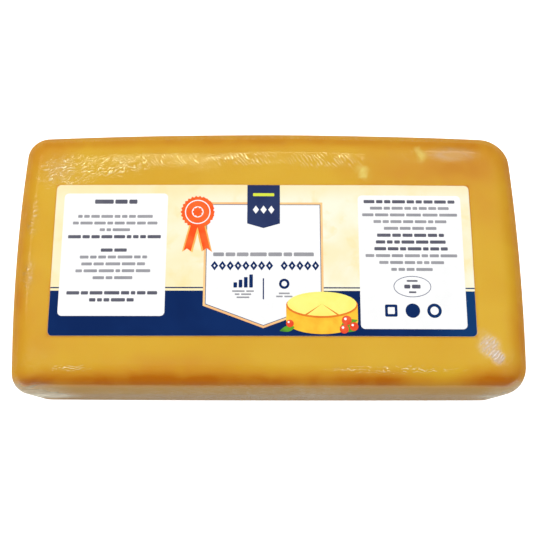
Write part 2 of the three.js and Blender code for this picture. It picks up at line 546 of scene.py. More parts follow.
# %% [markdown]
# A crease of two millimetres needs cells of about half a millimetre, and the plain parts of the film
# don't. So the grid starts coarse, and only its long edges inside the creased zones are cut again.
# The underside is flat, so its cells are dissolved into one face.

# %% A grid that is fine where the film is creased
FILM_CELLS = (132, 72, 40)
FILM_GATHER = 0.15
FINE_CELL = 0.75
FINE_ROUNDS = 3
FINE_ABOVE = 50.0
FINE_SHARE = 0.03


def on_film(vert):
    return place_on_block(*vert.co, FILM_GATHER)


def refine(form):
    """Cuts the long edges of the grid that lie in a creased zone of the upper face or shoulder."""
    for turn in range(FINE_ROUNDS):
        places = {vert: on_film(vert) for vert in form.verts}
        held = {}
        for vert, point in places.items():
            free = point.z > FINE_ABOVE and under_label(point) < 1
            held[vert] = free and any(zone_share(point, zone) > FINE_SHARE for zone in CREASE_ZONES)
        long = []
        for edge in form.edges:
            one, two = edge.verts
            if held[one] and held[two] and (places[one] - places[two]).length > FINE_CELL:
                long.append(edge)
        bmesh.ops.subdivide_edges(form, edges=long, cuts=1, use_grid_fill=True)
        print("round", turn + 1, "cut", len(long), "edges")


# %% The film
STROKES = ("rising", "falling", "along", "fanned")
SURFACE_RIPPLE = 0.02
SURFACE_RIPPLE_PITCH = 13.0
BASE_CLEAR = 3.0
PRESSED_LIFT = 0.3
HOLLOW_CLOUDY = 0.55
LOOSE_BELOW = (50.0, 40.0)
LOOSE_WALL = 0.50
LOOSE_FRONT_FACING = (0.45, 0.62)
LOOSE_FRONT_TURN = (0.80, 0.66)
WET_FACING = (0.08, 0.32)


def looseness(point, normal):
    """How far the film stands off: it does along the front below the shoulder, and low on the walls."""
    low = smooth(*LOOSE_BELOW, point.z)
    front = smooth(*LOOSE_FRONT_FACING, -normal.y) * smooth(*LOOSE_FRONT_TURN, normal.z)
    return max(LOOSE_WALL * low, front)


def wetness(normal):
    """How wet the film clings: it does along the front shoulder, where it hardly mirrors."""
    return smooth(*WET_FACING, -normal.y)


def lift_at(vert, free, layers):
    """How far the film stands up at a vertex. The strokes and cloudiness there go into its layers."""
    lift = SURFACE_RIPPLE * (1 + noise.noise(vert.co / SURFACE_RIPPLE_PITCH))
    for zone in CREASE_ZONES:
        share = free * zone_share(vert.co, zone)
        if share > 0:
            raised = zone_lift(vert.co, zone)
            lift += share * raised
            cloudy = share * zone.cloudy * mix(HOLLOW_CLOUDY, 1.0, raised / zone.depth)
            for name, added in ((zone.strokes, share * zone.strength), ("cloudy", cloudy)):
                vert[layers[name]] = min(1.0, vert[layers[name]] + added)
    return lift


def build_film():
    form = gridded_box(FILM_CELLS)
    underside = [face for face in form.faces if all(vert.co.z < NEARLY - 1 for vert in face.verts)]
    bmesh.ops.dissolve_faces(form, faces=underside, use_verts=True)
    refine(form)
    for vert in form.verts:
        vert.co = on_film(vert)
    form.normal_update()
    layers = {name: form.verts.layers.float.new(name) for name in STROKES + ("cloudy", "loose", "wet")}
    for vert in form.verts:
        free = (1 - under_label(vert.co)) * smooth(0, BASE_CLEAR, vert.co.z)
        vert[layers["loose"]] = looseness(vert.co, vert.normal)
        vert[layers["wet"]] = wetness(vert.normal)
        vert.co += vert.normal * lift_at(vert, free, layers) * max(free, PRESSED_LIFT)
    return finish_piece(form, "film")


film = build_film()
film_triangles = sum(len(polygon.vertices) - 2 for polygon in film.data.polygons)
print("film faces", len(film.data.polygons), "triangles", film_triangles)

# %% [markdown]
# The label is a sheet of coated paper. It lies flat on the film and bends with the crown of the
# cheese. Everything printed on it is a very thin closed plate of ink on the sheet, because a plate
# has a crisp edge at any distance, and an image isn't needed. A plate starts as one flat outline,
# is cut into small cells so that it can follow the crown, and is then raised to its thickness.

# %% The label's plane
LABEL_CENTRE = (label_low + label_high) / 2 / MM
LABEL_HALF = ((label_high.x - label_low.x) / 2 / MM, (label_high.y - label_low.y) / 2 / MM)
LABEL_CORNER_RADIUS = 2.5
SHEET_BOTTOM = 0.12
SHEET_TOP = 0.42
INK_STEP = 0.02
CELL = 4.0
CUT_REACH = 1e-5


def rounded(centre, half, radius, steps=6):
    """Corners of a rectangle with rounded corners, anticlockwise."""
    points = []
    for sign_x, sign_y, start in ((1, 1, 0), (-1, 1, 90), (-1, -1, 180), (1, -1, 270)):
        middle_x = centre[0] + sign_x * (half[0] - radius)
        middle_y = centre[1] + sign_y * (half[1] - radius)
        for i in range(steps + 1):
            angle = math.radians(start + 90 * i / steps)
            points.append((middle_x + radius * math.cos(angle), middle_y + radius * math.sin(angle)))
    return points


def disc(centre, radius, radius_y=None, steps=32):
    """A circle, or an ellipse where radius_y is given."""
    radius_y = radius if radius_y is None else radius_y
    angles = [2 * math.pi * i / steps for i in range(steps)]
    return [(centre[0] + radius * math.cos(a), centre[1] + radius_y * math.sin(a)) for a in angles]


def plate(name, outlines, bottom, top):
    """Closed thin plates on the label, one for each outline. Outlines are in millimetres from the
    label's middle, and bottom and top are heights over the film."""
    form = bmesh.new()
    for outline in outlines:
        form.faces.new([form.verts.new((x, y, 0)) for x, y in outline])
    bmesh.ops.triangulate(form, faces=form.faces[:])
    for axis, half in enumerate(LABEL_HALF):
        lines = int(half // CELL)
        for step in range(-lines, lines + 1):
            place, normal = [0, 0, 0], [0, 0, 0]
            place[axis], normal[axis] = step * CELL, 1
            cut = form.verts[:] + form.edges[:] + form.faces[:]
            bmesh.ops.bisect_plane(form, geom=cut, plane_co=place, plane_no=normal, dist=CUT_REACH)
    raised = bmesh.ops.extrude_face_region(form, geom=form.faces[:])["geom"]
    bmesh.ops.translate(form, verts=[v for v in raised if isinstance(v, bmesh.types.BMVert)], vec=(0, 0, 1))
    bmesh.ops.recalc_face_normals(form, faces=form.faces[:])
    for vert in form.verts:
        x, y = vert.co.x + LABEL_CENTRE.x, vert.co.y + LABEL_CENTRE.y
        vert.co = (x, y, HEIGHT - fall_of_upper_face(x, y) + mix(bottom, top, vert.co.z))
    made = finish_piece(form, name)
    made.data.shade_flat()
    return made


printed = []


def ink(name, outlines, level, finish):
    """A printed field and its ink. A higher level lies over a lower one."""
    made = plate(name, outlines, SHEET_TOP - INK_STEP, SHEET_TOP + INK_STEP * level)
    printed.append((made, finish))


sheet = plate("label_sheet", [rounded((0, 0), LABEL_HALF, LABEL_CORNER_RADIUS)], SHEET_BOTTOM, SHEET_TOP)
print("label", [round(2 * half) for half in LABEL_HALF], "mm, faces", len(sheet.data.polygons))

# %% [markdown]
# The print has a plain order that many such labels share. A dark band runs along the foot under a
# fine line, two white panels stand at the ends, and a white shield with a warm rim hangs in the
# middle from a dark tab.

# %% Bands and panels
EDGE = 0.05
BAND_TOP = -18.3
FINE_LINE_Y = -16.6
FINE_LINE_HALF = 0.35
PANEL_RADIUS = 2.4
LEFT_PANEL = ((-82.9, 2.9), (29.3, 35.4))
RIGHT_PANEL = ((82.8, -1.1), (29.1, 38.4))
SHIELD_MIDDLE = 0.5
SHIELD_LINE_INSET = 1.2
SHIELD_FIELD_INSET = 1.6
# Half width, top, height at which the sides end, and tip.
SHIELD = (33.2, 33.0, -26.8, -39.2)
TAB = (9.2, LABEL_HALF[1] - EDGE, 20.4, 17.7)


def pennant(half, top, shoulder, tip, inset=0.0):
    """A panel that ends in a point below, drawn in by an inset."""
    slope = math.atan2(shoulder - tip, half)
    inner = half - inset
    low = shoulder + inset * (1 / math.cos(slope)) - inset * math.tan(slope)
    point = tip + inset / math.cos(slope)
    return [
        (SHIELD_MIDDLE + inner, top - inset),
        (SHIELD_MIDDLE - inner, top - inset),
        (SHIELD_MIDDLE - inner, low),
        (SHIELD_MIDDLE, point),
        (SHIELD_MIDDLE + inner, low),
    ]


half_x, half_y = LABEL_HALF[0] - EDGE, LABEL_HALF[1] - EDGE
band_outline = [p for p in rounded((0, 0), (half_x, half_y), LABEL_CORNER_RADIUS) if p[1] < 0]
band_outline = [(half_x, BAND_TOP), (-half_x, BAND_TOP)] + band_outline
line_outline = [
    (half_x, FINE_LINE_Y + FINE_LINE_HALF),
    (-half_x, FINE_LINE_Y + FINE_LINE_HALF),
    (-half_x, FINE_LINE_Y - FINE_LINE_HALF),
    (half_x, FINE_LINE_Y - FINE_LINE_HALF),
]
ink("print_band", [band_outline, line_outline], 1, "navy ink")
ink("print_shield_rim", [pennant(*SHIELD)], 2, "peach ink")
ink("print_shield_line", [pennant(*SHIELD, SHIELD_LINE_INSET)], 3, "slate ink")
white_fields = [rounded(*panel, PANEL_RADIUS) for panel in (LEFT_PANEL, RIGHT_PANEL)]
ink("print_panels", white_fields + [pennant(*SHIELD, SHIELD_FIELD_INSET)], 4, "white field")
ink("print_tab", [pennant(*TAB)], 5, "dusk blue ink")
print("printed", [piece.name for piece, finish in printed])

# %% [markdown]
# An award rosette hangs at the left of the shield: a pleated disc, a pale ring and two forked tails.
# It is a common ornament, drawn here without any words.

# %% Rosette
ROSETTE_CENTRE = (-36.6, 27.2)
# Radius, number of pleats and their depth, of the rim and of the heart.
ROSETTE_RIM = (9.6, 26, 0.8)
ROSETTE_HEART = (2.9, 8, 0.5)
ROSETTE_RING = 7.2
ROSETTE_FACE = 6.6
ROSETTE_INNER_RING = 3.3
TAIL_TOP = (-36.6, 21.0)
TAIL_HALF = 2.9
TAIL_BORDER = 0.9
TAIL_END_BORDER = 0.6
# How far each tail leans, and its length.
TAILS = ((-5.4, 17.2), (5.6, 17.0))
ROOT_LEAN = 0.25
FORK_DEPTH = 0.7
FORK_SKEW = 0.1


def pleated(centre, radius, pleats, depth, steps=5):
    """A disc whose rim goes in and out once for each pleat."""
    points = []
    for i in range(pleats * steps):
        angle = 2 * math.pi * i / (pleats * steps)
        out = radius - depth * (0.5 - 0.5 * math.cos(pleats * angle))
        points.append((centre[0] + out * math.cos(angle), centre[1] + out * math.sin(angle)))
    return points


def tail(lean, half, length):
    """A ribbon tail with a forked end, that hangs from the rosette and leans to one side."""
    top_x, top_y = TAIL_TOP
    end_x, end_y = top_x + lean, top_y - length
    return [
        (top_x + lean * ROOT_LEAN - half, top_y),
        (end_x - half, end_y),
        (end_x - half * FORK_SKEW, end_y + half * FORK_DEPTH),
        (end_x + half, end_y - half * FORK_SKEW),
        (top_x + lean * ROOT_LEAN + half, top_y),
    ]


outer_tails = [tail(lean, TAIL_HALF, length) for lean, length in TAILS]
inner_tails = [tail(lean, TAIL_HALF - TAIL_BORDER, length - TAIL_END_BORDER) for lean, length in TAILS]
ink("print_tails_edge", outer_tails, 5, "gold ink")
ink("print_tails", inner_tails, 6, "vermilion ink")
ink("print_rosette", [pleated(ROSETTE_CENTRE, *ROSETTE_RIM)], 7, "vermilion ink")
ink("print_rosette_ring", [disc(ROSETTE_CENTRE, ROSETTE_RING)], 8, "white field")
ink("print_rosette_face", [disc(ROSETTE_CENTRE, ROSETTE_FACE)], 9, "vermilion ink")
ink("print_rosette_inner_ring", [disc(ROSETTE_CENTRE, ROSETTE_INNER_RING)], 10, "white field")
ink("print_rosette_heart", [pleated(ROSETTE_CENTRE, *ROSETTE_HEART)], 11, "vermilion ink")
print("rosette with", ROSETTE_RIM[1], "pleats and", len(TAILS), "tails")

# %% [markdown]
# Where the real label has small print there are rows of plain dashes, as a designer sets them before
# the words are known. Each dash is as long as a word. They are drawn by one seeded rule, so that they
# come out the same each time.

# %% Rows of dashes
DASH_GAP = 0.9
DASH_LENGTHS = (2.4, 8.5)
LONG_DASH = 12.0
DASH_ROUNDING = 0.45
# Half the height of a row, and the distance from row to row.
LIGHT_ROWS = (0.85, 3.95)
BOLD_ROWS = (0.95, 3.95)
TINY_ROWS = (0.45, 1.75)
left_x, right_x = LEFT_PANEL[0][0], RIGHT_PANEL[0][0]
# Middle, height, length and half height of one row that stands alone.
HEADING = (left_x, 33.4, 24, 1.25)
PHRASE = (SHIELD_MIDDLE, 2.4, 56, 1.1)
LIGHT_BLOCKS = [
    # middle, height of the first row, lengths of the rows
    (left_x, 24.6, (42, 47.5, 17)),
    (left_x, 0.8, (37.5, 35.5, 41.5, 22)),
    (right_x, 29.7, (44.5, 53.5, 41, 29.5)),
    (right_x, 1.9, (51, 36, 23)),
]
BOLD_BLOCKS = [
    (left_x, 12.6, (52,)),
    (left_x, 4.8, (14.5,)),
    (left_x, -19.6, (50, 24.5)),
    (right_x, 33.6, (51.5,)),
    (right_x, 13.8, (37.5, 39, 41)),
]
TINY_BLOCKS = [
    (-10.7, -18.6, (12, 9, 7)),
    (12.0, -19.8, (6, 9)),
]
draw = random.Random(31)


def dash_row(centre_x, y, length, half_height, longest=DASH_LENGTHS[1]):
    """One row of dashes, centred, as long as asked. The last dash takes what is left."""
    row, start, end = [], centre_x - length / 2, centre_x + length / 2
    while end - start > DASH_LENGTHS[0]:
        dash = draw.uniform(DASH_LENGTHS[0], longest)
        if end - start - dash < DASH_GAP + DASH_LENGTHS[0]:
            dash = end - start
        row.append(rounded((start + dash / 2, y), (dash / 2, half_height), half_height * DASH_ROUNDING, 2))
        start += dash + DASH_GAP
    return row


def dash_blocks(blocks, half_height, pitch):
    """Blocks of rows, each with its first row at the top."""
    rows = []
    for centre_x, top_y, lengths in blocks:
        for i, length in enumerate(lengths):
            rows += dash_row(centre_x, top_y - i * pitch, length, half_height)
    return rows


light_rows = dash_blocks(LIGHT_BLOCKS, *LIGHT_ROWS)
bold_rows = dash_row(*HEADING, LONG_DASH) + dash_blocks(BOLD_BLOCKS, *BOLD_ROWS)
light_rows += dash_row(*PHRASE, LONG_DASH) + dash_blocks(TINY_BLOCKS, *TINY_ROWS)
ink("print_small_rows", light_rows, 5, "grey ink")
ink("print_bold_rows", bold_rows, 5, "dark grey ink")
print("dashes", len(light_rows) + len(bold_rows))

# %% [markdown]
# The shield carries a row of open lozenges, a small rising gauge, a ring and a divider, all in the
# dark ink of the band. The tab has three small ones under a thin bar, and the right panel has an
# open oval over three plain figures.

# %% Lozenges and plain figures
LOZENGE = (2.05, 2.75)
LOZENGE_OPENING = (0.6, 0.9)
LOZENGE_PITCH = 4.35
TITLE_Y = -4.1
TITLE_STARTS = ((-26.6, 8), (12.0, 5))
TAB_LOZENGE = (1.75, 2.4)
TAB_LOZENGE_Y = 28.6
GAUGE_FOOT = (-15.0, -16.6)
GAUGE_BARS = 4
GAUGE_PITCH = 2.9
GAUGE_STEP = 0.75
GAUGE_BAR_HALF = 1.0
GAUGE_BAR_RADIUS = 0.3
# Middle, half width and half height, and corner radius.
DIVIDER = ((SHIELD_MIDDLE, -17.2), (0.35, 6.0), 0.2)
TAB_BAR = ((SHIELD_MIDDLE, 37.6), (6.0, 0.9), 0.4)
FIGURES = [
    # middle, then half width and corner radius of the figure and of its opening: a disc has no corners
    ((12.0, -14.4), (2.9, None), (1.5, None)),
    ((70.5, -29.3), (3.4, 0.8), (1.9, 0.4)),
    ((82.3, -29.3), (4.0, None), None),
    ((94.2, -29.3), (4.0, None), (2.3, None)),
]
STAMP = (82.6, -15.8)
STAMP_HALF = (10.4, 6.0)
STAMP_RIM = 0.4
STAMP_SIDES = 48
STAMP_ROWS = [
    # height over the stamp's middle, length, half height, longest dash
    (0.0, 9, 1.1, 5.0),
    (3.2, 6, 0.5, 3.0),
    (-3.2, 4, 0.5, 3.0),
]


def lozenge(centre, half):
    (x, y), (across, up) = centre, half
    return [(x + across, y), (x, y + up), (x - across, y), (x, y - up)]


def figure(middle, half, radius):
    return disc(middle, half) if radius is None else rounded(middle, (half, half), radius)


title_places = [(start + LOZENGE_PITCH * i, TITLE_Y) for start, count in TITLE_STARTS for i in range(count)]
title = [lozenge(place, LOZENGE) for place in title_places]
for i in range(GAUGE_BARS):
    rise = GAUGE_STEP * (i + 2)
    middle = (GAUGE_FOOT[0] + GAUGE_PITCH * i, GAUGE_FOOT[1] + rise)
    title.append(rounded(middle, (GAUGE_BAR_HALF, rise), GAUGE_BAR_RADIUS, steps=2))
title.append(rounded(*DIVIDER, steps=2))
title += [figure(middle, *outer) for middle, outer, inner in FIGURES]
openings = [lozenge(place, LOZENGE_OPENING) for place in title_places]
openings += [figure(middle, *inner) for middle, outer, inner in FIGURES if inner]
tab_places = [(SHIELD_MIDDLE + LOZENGE_PITCH * i, TAB_LOZENGE_Y) for i in (-1, 0, 1)]
ink("print_title_row", title, 5, "navy ink")
ink("print_figure_openings", openings, 6, "white field")
ink("print_tab_bar", [rounded(*TAB_BAR, steps=2)], 6, "lime ink")
ink("print_tab_lozenges", [lozenge(place, TAB_LOZENGE) for place in tab_places], 6, "white field")
inner_half = [half - STAMP_RIM for half in STAMP_HALF]
ink("print_stamp_rim", [disc(STAMP, *STAMP_HALF, STAMP_SIDES)], 5, "slate ink")
ink("print_stamp_face", [disc(STAMP, *inner_half, STAMP_SIDES)], 6, "white field")
stamp_lines = []
for up, *row in STAMP_ROWS:
    stamp_lines += dash_row(STAMP[0], STAMP[1] + up, *row)
ink("print_stamp_rows", stamp_lines, 7, "dark grey ink")
print("title", len(title), "shapes, openings", len(openings), "stamp dashes", len(stamp_lines))

# %% [markdown]
# At the foot of the shield there is a small picture in the colours of cheese, fruit and leaf: a whole
# round cheese with a few berries and leaves. It is made of a few flat shapes, laid over each other.

# %% Picture
WHEEL = (32.6, -25.6)
WHEEL_HALF = (19.6, 7.2)
WHEEL_DEPTH = 9.6
WHEEL_SIDE_STEPS = 20
WHEEL_RIM_DROP = 0.7
WHEEL_TOP_BORDER = (0.6, 0.4)
CUT_ANGLES = (-62, -118)
CUT_SPREAD = 2
LEAF_STEPS = 8
LEAF_FULLNESS = 0.8
LEAVES = [
    # base, length, angle in degrees, half width
    ((43.0, -37.5), 9.5, 18, 1.9),
    ((42.0, -38.5), 9.0, -14, 1.7),
    ((17.5, -38.5), 8.5, 195, 1.7),
]
BERRIES = [
    # centre, radius
    ((46.0, -34.8), 2.7),
    ((49.9, -38.2), 2.4),
    ((44.6, -39.6), 2.5),
    ((15.0, -36.6), 2.1),
]
BERRY_LIGHT_PLACE = (-0.7, 0.8)
BERRY_LIGHT_SIZE = 0.28


def wheel_point(angle, drop=0.0):
    """A point on the rim of the round cheese, or below it, at an angle in degrees."""
    turn = math.radians(angle)
    x = WHEEL[0] + WHEEL_HALF[0] * math.cos(turn)
    return (x, WHEEL[1] - drop + WHEEL_HALF[1] * math.sin(turn))


def wheel_side():
    """The side of the round cheese, from its upper rim down."""
    steps = range(WHEEL_SIDE_STEPS + 1)
    low = [wheel_point(180 + 180 * i / WHEEL_SIDE_STEPS, WHEEL_DEPTH) for i in steps]
    return [(WHEEL[0] + WHEEL_HALF[0], WHEEL[1]), (WHEEL[0] - WHEEL_HALF[0], WHEEL[1])] + low


def cut_line(angle):
    """A thin wedge from the middle of the round cheese to its rim."""
    return [WHEEL, wheel_point(angle - CUT_SPREAD), wheel_point(angle + CUT_SPREAD)]


def leaf(base, length, angle, half):
    """A pointed leaf that grows from its base at an angle in degrees."""
    forward = Vector((math.cos(math.radians(angle)), math.sin(math.radians(angle))))
    aside = Vector((-forward.y, forward.x))
    points = []
    for sign, shares in ((1, range(0, LEAF_STEPS + 1)), (-1, range(LEAF_STEPS - 1, 0, -1))):
        for i in shares:
            swell = math.sin(math.pi * (i / LEAF_STEPS) ** LEAF_FULLNESS) * half * sign
            place = Vector(base) + forward * length * i / LEAF_STEPS + aside * swell
            points.append((place.x, place.y))
    return points


def berry_light(centre, radius):
    """The small bright spot on a berry."""
    place = (centre[0] + BERRY_LIGHT_PLACE[0], centre[1] + BERRY_LIGHT_PLACE[1])
    return disc(place, radius * BERRY_LIGHT_SIZE, steps=10)


rim_place = (WHEEL[0], WHEEL[1] - WHEEL_RIM_DROP)
top_half = [half - border for half, border in zip(WHEEL_HALF, WHEEL_TOP_BORDER)]
ink("print_wheel_side", [wheel_side()], 6, "honey ink")
ink("print_wheel_rim", [disc(rim_place, *WHEEL_HALF)], 7, "rust ink")
ink("print_wheel_top", [disc(WHEEL, *top_half)], 8, "butter ink")
ink("print_wheel_cuts", [cut_line(angle) for angle in CUT_ANGLES], 9, "rust ink")
ink("print_leaves", [leaf(*values) for values in LEAVES], 9, "leaf ink")
ink("print_berries", [disc(centre, radius, steps=20) for centre, radius in BERRIES], 10, "berry ink")
ink("print_berry_lights", [berry_light(*berry) for berry in BERRIES], 11, "white field")
print("picture with", len(LEAVES), "leaves and", len(BERRIES), "berries")

# %% [markdown]
# Two effects show up in more than one finish, so each is a group that the materials share. The first
# is soft mottling: broad, cloudy changes of tone, at any scale. The second is the fine grain of paper.
# Groups put out values and heights only, and each material keeps its own shader. After them come a
# few more helpers, for what every finish needs.

# %% Shared effects
FIBRE_SCALE = 1400.0
PULP_SCALE = 160.0


def new_group(name, inputs, outputs):
    """An empty node group. An input without a value is a vector, and all the others are numbers."""
    tree = bpy.data.node_groups.new(name, "ShaderNodeTree")
    for label, value in inputs.items():
        kind = "NodeSocketVector" if value is None else "NodeSocketFloat"
        socket = tree.interface.new_socket(name=label, in_out="INPUT", socket_type=kind)
        if value is not None:
            socket.default_value = value
    for label in outputs:
        tree.interface.new_socket(name=label, in_out="OUTPUT", socket_type="NodeSocketFloat")
    return tree, tree.nodes.new("NodeGroupInput").outputs, tree.nodes.new("NodeGroupOutput")


def noise_tone(tree, place, scale, detail, **values):
    made = add_node(tree, "ShaderNodeTexNoise", Vector=place, Scale=scale, Detail=detail, **values)
    return made.outputs["Fac"]


def build_mottling():
    inputs = {"Vector": None, "Scale": 20.0, "Low": 0.35, "High": 0.65}
    tree, given, out = new_group("Soft mottling", inputs, ["Tone"])
    cloud = noise_tone(tree, given["Vector"], given["Scale"], 3.0, Roughness=0.5, Distortion=0.4)
    fill(tree, out, Tone=ramp(tree, cloud, (given["Low"], given["High"])))
    return tree


def build_paper_grain():
    tree, given, out = new_group("Paper grain", {"Vector": None}, ["Tone", "Height"])
    fibre = noise_tone(tree, given["Vector"], FIBRE_SCALE, 4.0, Roughness=0.65)
    pulp = noise_tone(tree, given["Vector"], PULP_SCALE, 2.0)
    fill(tree, out, Tone=times(tree, fibre, pulp), Height=fibre)
    return tree


MOTTLING = build_mottling()
PAPER_GRAIN = build_paper_grain()
print("groups", [group.name for group in (MOTTLING, PAPER_GRAIN)])

# %% Helpers for the finishes
def use_group(tree, group, **values):
    made = tree.nodes.new("ShaderNodeGroup")
    made.node_tree = group
    fill(tree, made, **values)
    return made.outputs


def mottled(tree, place, scale, low, high):
    """Cloudy changes from 0 to 1. Values of the noise below low give 0, and above high they give 1."""
    return use_group(tree, MOTTLING, Vector=place, Scale=scale, Low=low, High=high)["Tone"]


def attribute(tree, name):
    """A value that the mesh carries at each vertex."""
    return add_node(tree, "ShaderNodeAttribute", attribute_name=name).outputs["Fac"]


def blend(tree, share, first, second):
    """The colour between two colours. Each may be a colour or a link."""
    made = add_node(tree, "ShaderNodeMix", data_type="RGBA")
    for index, value in ((0, share), (6, first), (7, second)):
        feed(tree, made.inputs[index], value)
    return made.outputs[2]


def vector_node(tree, operation, first, second):
    made = add_node(tree, "ShaderNodeVectorMath", operation=operation)
    feed(tree, made.inputs[0], first)
    feed(tree, made.inputs[1], second)
    return made.outputs["Value"]


def bumped(tree, height, strength, distance):
    made = add_node(tree, "ShaderNodeBump", Strength=strength, Distance=distance, Height=height)
    return made.outputs["Normal"]


def srgb(red, green, blue):
    """A colour from screen values of 0 to 255."""
    def linear(value):
        value /= 255
        return value / 12.92 if value <= 0.04045 else ((value + 0.055) / 1.055) ** 2.4

    return (linear(red), linear(green), linear(blue), 1.0)


def new_material(name):
    material = bpy.data.materials.new(name)
    material.use_nodes = True
    tree = material.node_tree
    shader = tree.nodes["Principled BSDF"]
    place = tree.nodes.new("ShaderNodeTexCoord").outputs["Object"]
    return material, tree, shader, place


# %% [markdown]
# Smoked rind is amber on the face and a deeper orange brown on the shoulders, and painted shade darkens
# the shoulders and the front wall further. Broad clouds keep it from looking painted. A few pale spots
# on the back shoulder are painted highlights, and a thin painted shadow lines the label's edge. The film
# gives the real gloss, so the cheese itself stays dull.

# %% Cheese finish
AMBER = (0.652, 0.354, 0.015, 1)
PALE_AMBER = (0.692, 0.410, 0.027, 1)
TAN = (0.615, 0.274, 0.017, 1)
DEEP_ORANGE = (0.495, 0.143, 0.002, 1)
# Painted shade: the front wall is turned to this darker brown.
FRONT_WALL_SHADE = (0.470, 0.240, 0.020, 1)
# Painted highlights: pale glows on the back shoulder, among the film's glints.
PAINTED_HIGHLIGHT = (0.740, 0.560, 0.125, 1)
PAINTED_HIGHLIGHT_SPOTS = [
    # centre, radius, share at its middle
    ((53.2, 49.0, 67.3), 5.4, 1.0),
    ((54.9, 46.2, 67.3), 4.4, 0.85),
    ((88.0, 57.8, 66.4), 4.8, 0.75),
    ((87.0, 62.2, 65.8), 4.0, 0.50),
]
HIGHLIGHT_SPOT_WANDER = 0.003
HIGHLIGHT_SPOT_FALLOFF = 1.7
# A thin painted shadow just outside the label's outline.
LABEL_SHADOW_REACH = 0.0014
LABEL_SHADOW_DARKENS = 0.42
SMOKE_WANDER = 0.24
PLAIN_RIND_WANDERS = 0.35
# Scale of the mottling, and the values of its noise that give 0 and 1.
BROAD_CLOUDS = (14.0, 0.30, 0.72)
FINE_CLOUDS = (70.0, 0.28, 0.72)
RAGGED_RIMS = (260.0, 0.3, 0.7)
# Scale and detail of the grain, and strength and height of its bump.
RIND_GRAIN = (450.0, 4.0)
RIND_BUMP = (0.25, 0.0002)


def label_edge_shadow(tree, place):
    """A painted shadow along the label's edge: 1 at its outline, falling to 0 a little way outside it."""
    axes = add_node(tree, "ShaderNodeSeparateXYZ", Vector=place).outputs
    outside = []
    for axis, middle, half in zip("XY", (label_low + label_high) / 2, (label_high - label_low) / 2):
        away = math_node(tree, "ABSOLUTE", math_node(tree, "SUBTRACT", axes[axis], middle))
        outside.append(math_node(tree, "SUBTRACT", away, half))
    return ramp(tree, math_node(tree, "MAXIMUM", *outside), (LABEL_SHADOW_REACH, 0.0), soft=False)


def with_painted_highlights(tree, place, color):
    """The colour with pale painted highlight spots on it. The mottling makes their rims ragged."""
    ragged = math_node(tree, "SUBTRACT", mottled(tree, place, *RAGGED_RIMS), 0.5)
    ragged = times(tree, ragged, HIGHLIGHT_SPOT_WANDER)
    for centre, radius, most in PAINTED_HIGHLIGHT_SPOTS:
        away = plus(tree, vector_node(tree, "DISTANCE", place, Vector(centre) * MM), ragged)
        near = math_node(tree, "POWER", ramp(tree, away, (radius * MM, 0.0), soft=False), HIGHLIGHT_SPOT_FALLOFF)
        color = blend(tree, times(tree, near, most), color, PAINTED_HIGHLIGHT)
    return color


def build_cheese_material():
    material, tree, shader, place = new_material("smoked rind")
    # A thin painted shadow along the label's edge darkens the rind next to it.
    smoke_and_shade = plus(tree, attribute(tree, "smoke_and_shade"), times(tree, label_edge_shadow(tree, place), LABEL_SHADOW_DARKENS))
    wander = times(tree, mottled(tree, place, *FINE_CLOUDS), SMOKE_WANDER)
    wander = math_node(tree, "SUBTRACT", wander, SMOKE_WANDER / 2)
    wander = times(tree, wander, plus(tree, smoke_and_shade, PLAIN_RIND_WANDERS))
    # The first half of the smoke and painted shade turns the face to tan, and the second half turns tan to
    # deep orange.
    amount = times(tree, plus(tree, smoke_and_shade, wander), 2.0)
    deep = math_node(tree, "SUBTRACT", amount, 1.0, clamp=True)
    amount = math_node(tree, "MINIMUM", math_node(tree, "MAXIMUM", amount, 0.0), 1.0)
    face = blend(tree, mottled(tree, place, *BROAD_CLOUDS), AMBER, PALE_AMBER)
    color = blend(tree, deep, blend(tree, amount, face, TAN), DEEP_ORANGE)
    # Painted shade darkens the front wall.
    color = blend(tree, attribute(tree, "shade"), color, FRONT_WALL_SHADE)
    fill(
        tree,
        shader,
        Base_Color=with_painted_highlights(tree, place, color),
        Roughness=0.6,
        Specular_IOR_Level=0.05,
        Subsurface_Weight=0.08,
        Subsurface_Radius=(1.0, 0.45, 0.12),
        Subsurface_Scale=0.004,
        Normal=bumped(tree, noise_tone(tree, place, *RIND_GRAIN), *RIND_BUMP),
    )
    return material


cheese.data.materials.append(build_cheese_material())
print("cheese finish with", len(PAINTED_HIGHLIGHT_SPOTS), "pale spots")

# %% [markdown]
# Clear film only shows by what it mirrors. A thin mirror whose cover follows the angle of view does
# that: nearly nothing seen square on, and more of it at a grazing angle. Real glass would refract and
# throw noisy shadows, and a skin this thin needs neither. Film that clings wet to the cheese mirrors
# little, film that stands off it mirrors more, and where creases are stacked they look cloudy. The
# mesh carries one value for each of these. The finest creases are too thin for the mesh, so they are
# wavy lines in the finish: sines along one direction, bent by noise. They raise the bump, and where
# the mottling doesn't break them up they raise the cover too.

# %% Film finish
MIRROR_SQUARE_ON = 0.026
MIRROR_GRAZING = 0.03
LOOSE_SQUARE_ON = 0.09
LOOSE_GRAZING = 0.26
GRAZING_POWER = 5.0
WET_DIMS = 0.75
FILM_ROUGH = 0.07
CLOUD_ROUGH = 0.55
CLOUD_COVER = 0.5
CLOUD_WHITENS = 2.0
CLEAR = (0.98, 1.0, 0.64, 1)
CLOUD_WHITE = (0.88, 0.84, 0.83, 1)
WARM_VEIL = (1.0, 0.97, 0.80, 1)

